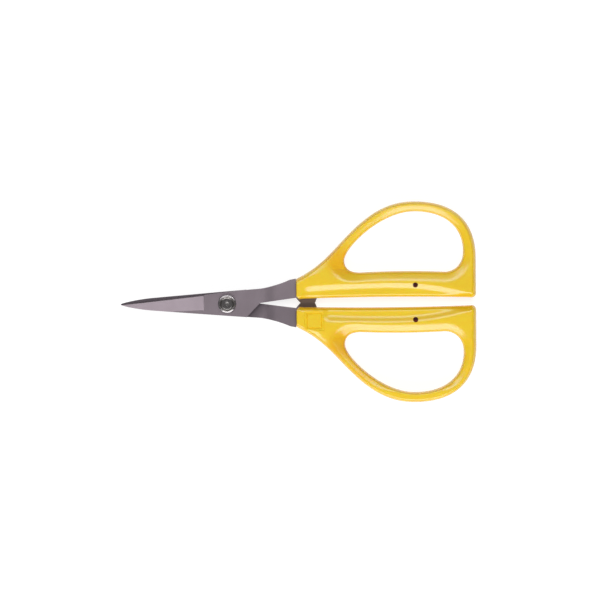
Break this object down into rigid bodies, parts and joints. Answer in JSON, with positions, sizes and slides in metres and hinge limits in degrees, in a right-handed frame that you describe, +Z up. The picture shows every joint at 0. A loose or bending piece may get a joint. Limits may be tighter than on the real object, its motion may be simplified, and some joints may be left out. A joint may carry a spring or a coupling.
{
  "type": "thread scissors",
  "caption": "Small pivoted thread scissors with straight fine-pointed blades, large closed finger loops, a dished pivot bolt and stop lugs that meet between the grips; shown closed.",
  "frame": {"origin": "on the surface that the snips lie on, below the middle of their overall length and width", "axes": "+X along the length, towards the handles; +Z up through the thickness, towards the pivot bolt's head; +Y towards the handle of the front blade"},
  "size_m": [0.165, 0.0934, 0.009],
  "materials": {
    "blade_steel": "satin ground steel, slightly warm grey",
    "handle_plastic": "glossy moulded plastic, warm yellow",
    "pivot_steel": "turned and plated steel, half bright"
  },
  "bodies": {
    "back_half": {"back_blade": "blade_steel", "back_handle": "handle_plastic", "pivot_bolt": "pivot_steel", "spring_washer": "pivot_steel", "thrust_washer": "pivot_steel", "lock_nut": "pivot_steel"},
    "front_half": {"front_blade": "blade_steel", "front_handle": "handle_plastic"}
  },
  "joints": [
    {"name": "blade_pivot", "type": "hinge", "parent": "back_half", "child": "front_half", "pos_m": [-0.0331, 0, 0.0045], "axis": [0, 0, 1], "range_deg": [0, 140]}
  ]
}
